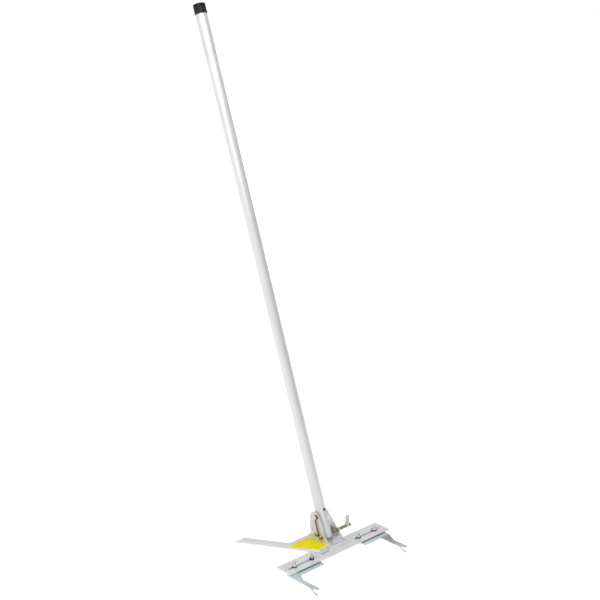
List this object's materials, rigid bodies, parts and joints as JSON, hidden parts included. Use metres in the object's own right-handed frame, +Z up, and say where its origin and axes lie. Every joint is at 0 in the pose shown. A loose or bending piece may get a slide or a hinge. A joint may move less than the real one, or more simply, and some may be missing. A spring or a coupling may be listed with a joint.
{
  "type": "long-handled two-fork lifting tool",
  "caption": "Long aluminium pole on a tilting flat head, with two forked arms that slide along a slotted crossbar and lock with wing nuts.",
  "frame": {"origin": "grip point on the pole's axis, 1180 mm up the pole from the head's pivot", "axes": "+X along the crossbar, +Y back towards the tail, +Z up, square to the crossbar's top face; the forks point along -Y"},
  "size_m": [0.3611, 0.6579, 1.3128],
  "materials": {
    "satin_tube": "satin drawn aluminium tube",
    "black_cap": "soft black vinyl, slightly glossy",
    "plug_plastic": "natural nylon",
    "dark_screw": "dark oiled steel",
    "bolt_steel": "plated steel",
    "bright_zinc": "bright zinc plate",
    "dark_wire": "oiled spring wire",
    "sleeve_bronze": "yellow-passivated steel tube",
    "yellow_zinc": "yellow-passivated steel plate",
    "mill_aluminium": "mill-finish aluminium",
    "rivet_aluminium": "closed aluminium rivets",
    "yellow_vinyl": "yellow vinyl sticker, blank",
    "blue_zinc": "blue-passivated zinc plate"
  },
  "bodies": {
    "pole": {"pole_tube": "satin_tube", "pole_cap": "black_cap", "tube_plug": "plug_plastic", "plug_screw": "dark_screw", "pivot_bolt": "bolt_steel", "pivot_outer_washer": "bright_zinc", "pivot_inner_washer": "bright_zinc", "pivot_lock_nut": "bright_zinc", "hook_wire": "dark_wire", "clamp_bolt": "dark_screw", "clamp_washers": "bright_zinc", "clamp_slot_shoes": "mill_aluminium", "clamp_stop_nut": "dark_screw", "clamp_inner_sleeve": "sleeve_bronze", "clamp_outer_sleeve": "sleeve_bronze", "clamp_end_nut": "dark_screw"},
    "lever_washer": {"clamp_lever_washer": "bright_zinc"},
    "lever": {"clamp_lever": "bright_zinc"},
    "head": {"index_plate": "yellow_zinc", "gusset_plate": "mill_aluminium", "bracket_rivets": "rivet_aluminium", "foot_plate": "mill_aluminium", "foot_rivets": "rivet_aluminium", "yellow_label": "yellow_vinyl", "crossbar": "mill_aluminium"},
    "left_fork": {"left_fork_plate": "blue_zinc", "left_fork_bolts": "bolt_steel"},
    "left_outer_washer_body": {"left_outer_washer": "dark_screw"},
    "left_outer_nut": {"left_outer_wing_nut": "bright_zinc"},
    "left_inner_washer_body": {"left_inner_washer": "dark_screw"},
    "left_inner_nut": {"left_inner_wing_nut": "dark_screw"},
    "right_fork": {"right_fork_plate": "blue_zinc", "right_fork_bolts": "bolt_steel"},
    "right_outer_washer_body": {"right_outer_washer": "dark_screw"},
    "right_outer_nut": {"right_outer_wing_nut": "bright_zinc"},
    "right_inner_washer_body": {"right_inner_washer": "dark_screw"},
    "right_inner_nut": {"right_inner_wing_nut": "bright_zinc"}
  },
  "joints": [
    {"name": "head_tilt", "type": "hinge", "parent": "pole", "child": "head", "pos_m": [0, -0.40358, -1.10884], "axis": [-1, 0, 0], "range_deg": [0, 25]},
    {"name": "lever_washer_slide", "type": "slide", "parent": "pole", "child": "lever_washer", "axis": [1, 0, 0], "range_m": [0, 0.00032]},
    {"name": "lever_turn", "type": "hinge", "parent": "lever_washer", "child": "lever", "pos_m": [0.0732, -0.42103, -1.15676], "axis": [1, 0, 0], "range_deg": [0, 90]},
    {"name": "left_fork_slide", "type": "slide", "parent": "head", "child": "left_fork", "axis": [-1, 0, 0], "range_m": [-0.012, 0.012]},
    {"name": "left_outer_washer_lift", "type": "slide", "parent": "left_fork", "child": "left_outer_washer_body", "axis": [0, 0, 1], "range_m": [0, 0.00254]},
    {"name": "left_outer_nut_turn", "type": "hinge", "parent": "left_outer_washer_body", "child": "left_outer_nut", "pos_m": [-0.1518, -0.46658, -1.16834], "axis": [0, 0, 1], "range_deg": [0, 720]},
    {"name": "left_inner_washer_lift", "type": "slide", "parent": "left_fork", "child": "left_inner_washer_body", "axis": [0, 0, 1], "range_m": [0, 0.00254]},
    {"name": "left_inner_nut_turn", "type": "hinge", "parent": "left_inner_washer_body", "child": "left_inner_nut", "pos_m": [-0.0948, -0.46658, -1.16834], "axis": [0, 0, 1], "range_deg": [0, 720]},
    {"name": "right_fork_slide", "type": "slide", "parent": "head", "child": "right_fork", "axis": [1, 0, 0], "range_m": [-0.012, 0.012]},
    {"name": "right_outer_washer_lift", "type": "slide", "parent": "right_fork", "child": "right_outer_washer_body", "axis": [0, 0, 1], "range_m": [0, 0.00254]},
    {"name": "right_outer_nut_turn", "type": "hinge", "parent": "right_outer_washer_body", "child": "right_outer_nut", "pos_m": [0.1262, -0.46658, -1.16834], "axis": [0, 0, 1], "range_deg": [0, 720]},
    {"name": "right_inner_washer_lift", "type": "slide", "parent": "right_fork", "child": "right_inner_washer_body", "axis": [0, 0, 1], "range_m": [0, 0.00254]},
    {"name": "right_inner_nut_turn", "type": "hinge", "parent": "right_inner_washer_body", "child": "right_inner_nut", "pos_m": [0.0692, -0.46658, -1.16834], "axis": [0, 0, 1], "range_deg": [0, 720]}
  ],
  "couplings": [
    {"joint": "lever_washer_slide", "follows": "lever_turn", "m_per_rad": 0.00020213},
    {"joint": "left_outer_washer_lift", "follows": "left_outer_nut_turn", "m_per_rad": 0.00020213},
    {"joint": "left_inner_washer_lift", "follows": "left_inner_nut_turn", "m_per_rad": 0.00020213},
    {"joint": "right_outer_washer_lift", "follows": "right_outer_nut_turn", "m_per_rad": 0.00020213},
    {"joint": "right_inner_washer_lift", "follows": "right_inner_nut_turn", "m_per_rad": 0.00020213}
  ]
}
